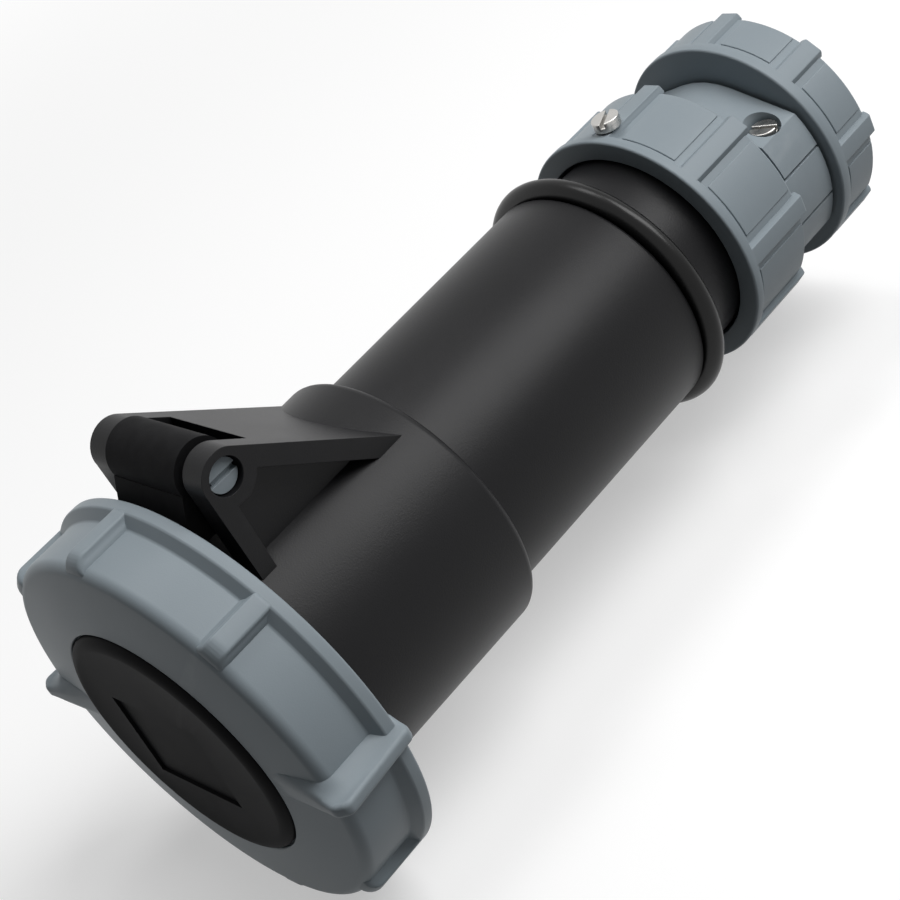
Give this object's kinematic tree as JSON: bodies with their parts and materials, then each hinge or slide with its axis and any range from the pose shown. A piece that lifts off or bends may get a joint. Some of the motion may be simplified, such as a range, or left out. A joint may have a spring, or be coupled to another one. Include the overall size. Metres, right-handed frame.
{
  "type": "industrial power coupler",
  "caption": "Cable-end socket of a round pin-and-sleeve power connector, with a spring-closed hinged lid, a bayonet locking ring, a long tubular grip and a clamped cable gland.",
  "frame": {"origin": "centre of the socket's mouth, at the front face of the contact insert", "axes": "+X along the main axis from the mouth towards the cable, +Z towards the lid's hinge, +Y along the hinge"},
  "size_m": [0.2471, 0.1188, 0.1207],
  "materials": {
    "black_plastic": "fine texture, satin",
    "grey_plastic": "satin",
    "insert_plastic": "satin",
    "rubber": "matt",
    "steel": "zinc plated",
    "brass": "turned"
  },
  "bodies": {
    "body": {"front_housing": "black_plastic", "contact_carrier": "insert_plastic", "line_contact_1": "brass", "line_contact_2": "brass", "line_contact_3": "brass", "neutral_contact": "brass", "earth_contact": "brass", "pilot_contact": "brass", "terminal_screws": "steel", "carrier_gasket": "rubber", "handle": "black_plastic", "bumper_ring": "rubber", "hinge_pin": "grey_plastic", "gland_body": "grey_plastic", "locking_screw": "steel", "gland_seal": "rubber"},
    "lid": {"lid": "black_plastic", "lid_spring": "steel", "lid_gasket": "rubber", "front_disc": "black_plastic", "disc_screws": "steel"},
    "ring": {"bayonet_ring": "grey_plastic"},
    "upper_saddle": {"upper_clamp": "grey_plastic", "upper_clamp_screws": "steel"},
    "lower_saddle": {"lower_clamp": "grey_plastic", "lower_clamp_screws": "steel"},
    "thrust": {"thrust_washer": "grey_plastic"},
    "nut": {"gland_nut": "grey_plastic"}
  },
  "joints": [
    {"name": "lid_hinge", "type": "hinge", "parent": "body", "child": "lid", "pos_m": [0.0247, 0, 0.0578], "axis": [0, 1, 0], "range_deg": [0, 110], "stiffness_Nm_per_rad": 0.08, "springref_deg": -114.59},
    {"name": "ring_turn", "type": "hinge", "parent": "lid", "child": "ring", "pos_m": [0, 0, 0], "axis": [1, 0, 0], "range_deg": [0, 45]},
    {"name": "nut_advance", "type": "slide", "parent": "body", "child": "thrust", "axis": [1, 0, 0], "range_m": [0, 0.0025]},
    {"name": "nut_turn", "type": "hinge", "parent": "thrust", "child": "nut", "pos_m": [0.225, 0, 0], "axis": [1, 0, 0], "range_deg": [0, 360]},
    {"name": "upper_clamping", "type": "slide", "parent": "body", "child": "upper_saddle", "axis": [0, 0, 1], "range_m": [0, 0.003]},
    {"name": "lower_clamping", "type": "slide", "parent": "body", "child": "lower_saddle", "axis": [0, 0, -1], "range_m": [0, 0.003]}
  ],
  "couplings": [
    {"joint": "nut_advance", "follows": "nut_turn", "m_per_rad": 0.00039789}
  ]
}
